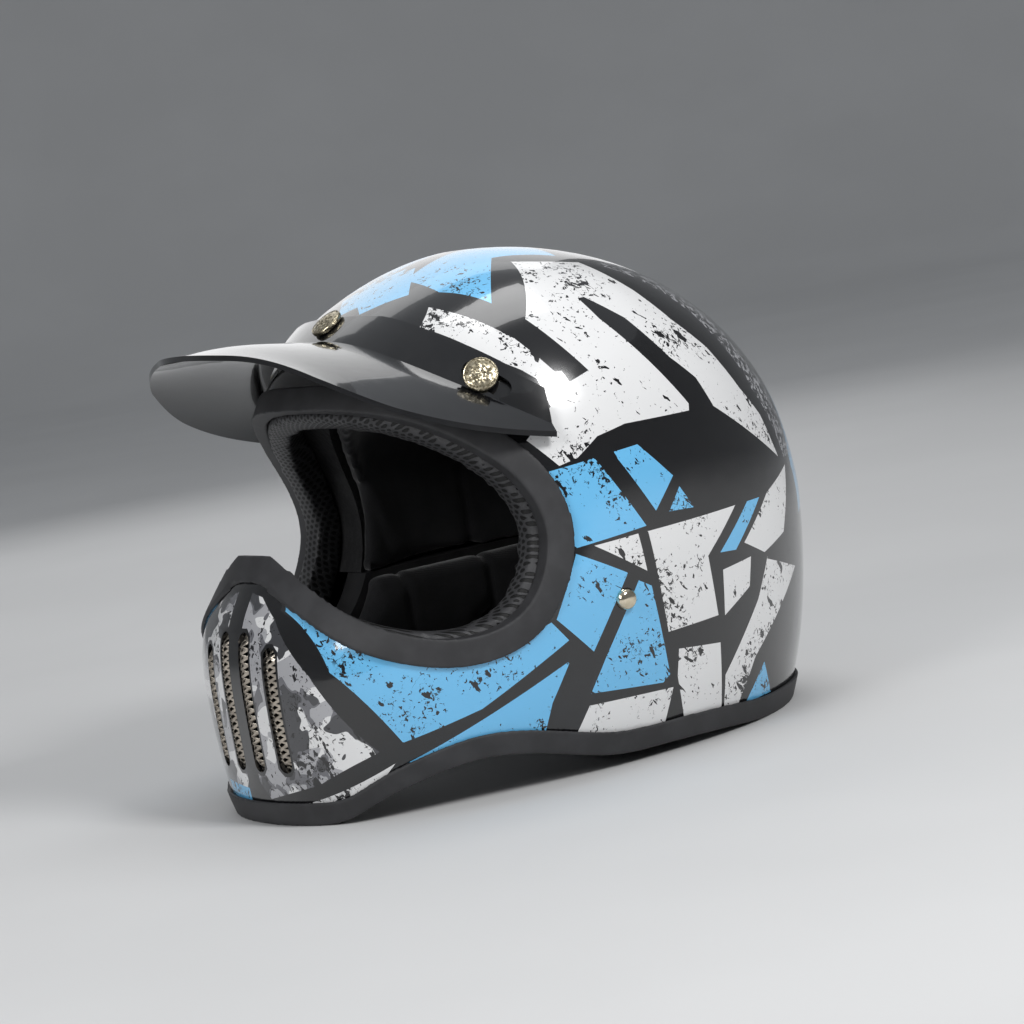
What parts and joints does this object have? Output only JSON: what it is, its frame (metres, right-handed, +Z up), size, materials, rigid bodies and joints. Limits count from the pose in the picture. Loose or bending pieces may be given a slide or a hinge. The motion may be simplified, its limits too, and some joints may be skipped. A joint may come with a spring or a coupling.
{
  "type": "motorcycle helmet",
  "caption": "Full-face helmet with a long slotted chin bar, rubber-trimmed eyeport and a press-stud peak, fully lined, with a buckled chin strap.",
  "frame": {"origin": "middle of the length and width, on the plane the base trim rests on", "axes": "+Z up, the face looks towards -Y, the wearer's left is +X"},
  "size_m": [0.248, 0.3211, 0.2515],
  "materials": {
    "shell_paint": "gloss lacquer with painted shapes",
    "peak_black": "gloss black",
    "rubber_trim": "matt dark grey",
    "eps_foam": "matt black beads",
    "lining_mesh": "honeycomb air mesh",
    "comfort_fabric": "brushed knit",
    "vent_metal": "expanded metal",
    "stud_metal": "polished nickel",
    "cap_metal": "antique nickel",
    "webbing": "woven polyester",
    "strap_steel": "zinc plated",
    "buckle_steel": "plated",
    "pad_plastic": "moulded"
  },
  "bodies": {
    "helmet": {"outer_shell": "shell_paint", "eyeport_trim": "rubber_trim", "base_trim": "rubber_trim", "crown_eps": "eps_foam", "comfort_liner": "comfort_fabric", "chin_eps": "eps_foam", "eyeport_lining": "lining_mesh", "neck_roll": "comfort_fabric", "vent_mesh_left": "vent_metal", "vent_mesh_right": "vent_metal", "peak_stud_centre": "stud_metal", "peak_stud_left": "stud_metal", "peak_stud_right": "stud_metal", "strap_rivet_left": "stud_metal", "strap_rivet_right": "stud_metal", "anchor_spacers": "strap_steel", "cheek_base_left": "pad_plastic", "cheek_base_right": "pad_plastic", "cheek_snaps_left": "strap_steel", "cheek_snaps_right": "strap_steel"},
    "peak": {"peak": "peak_black", "peak_cap_centre": "cap_metal", "peak_cap_left": "cap_metal", "peak_cap_right": "cap_metal"},
    "cheek_left": {"cheek_pad_left": "comfort_fabric", "cheek_core_left": "pad_plastic"},
    "cheek_right": {"cheek_pad_right": "comfort_fabric", "cheek_core_right": "pad_plastic"},
    "chin_strap": {"anchor_plate_left": "strap_steel", "anchor_plate_right": "strap_steel", "strap_left": "webbing", "strap_right": "webbing", "strap_pad": "comfort_fabric", "buckle_frame": "buckle_steel", "ratchet_tongue": "pad_plastic", "lever_pin": "strap_steel", "lever_spring": "strap_steel"},
    "lever": {"buckle_lever": "buckle_steel"}
  },
  "joints": [
    {"name": "peak_pull_off", "type": "slide", "parent": "helmet", "child": "peak", "axis": [0, -0.5587, 0.8294], "range_m": [0, 0.06]},
    {"name": "cheek_left_pull", "type": "slide", "parent": "helmet", "child": "cheek_left", "axis": [-1, 0, 0], "range_m": [0, 0.025]},
    {"name": "cheek_right_pull", "type": "slide", "parent": "helmet", "child": "cheek_right", "axis": [1, 0, 0], "range_m": [0, 0.025]},
    {"name": "chin_strap_swing", "type": "hinge", "parent": "helmet", "child": "chin_strap", "pos_m": [0, -0.01226, 0.081], "axis": [1, 0, 0], "range_deg": [-30, 35]},
    {"name": "buckle_lever_lift", "type": "hinge", "parent": "chin_strap", "child": "lever", "pos_m": [0.066, -0.01226, 0.0245], "axis": [0, -1, 0], "range_deg": [0, 28], "stiffness_Nm_per_rad": 0.02, "springref_deg": -11.46}
  ]
}
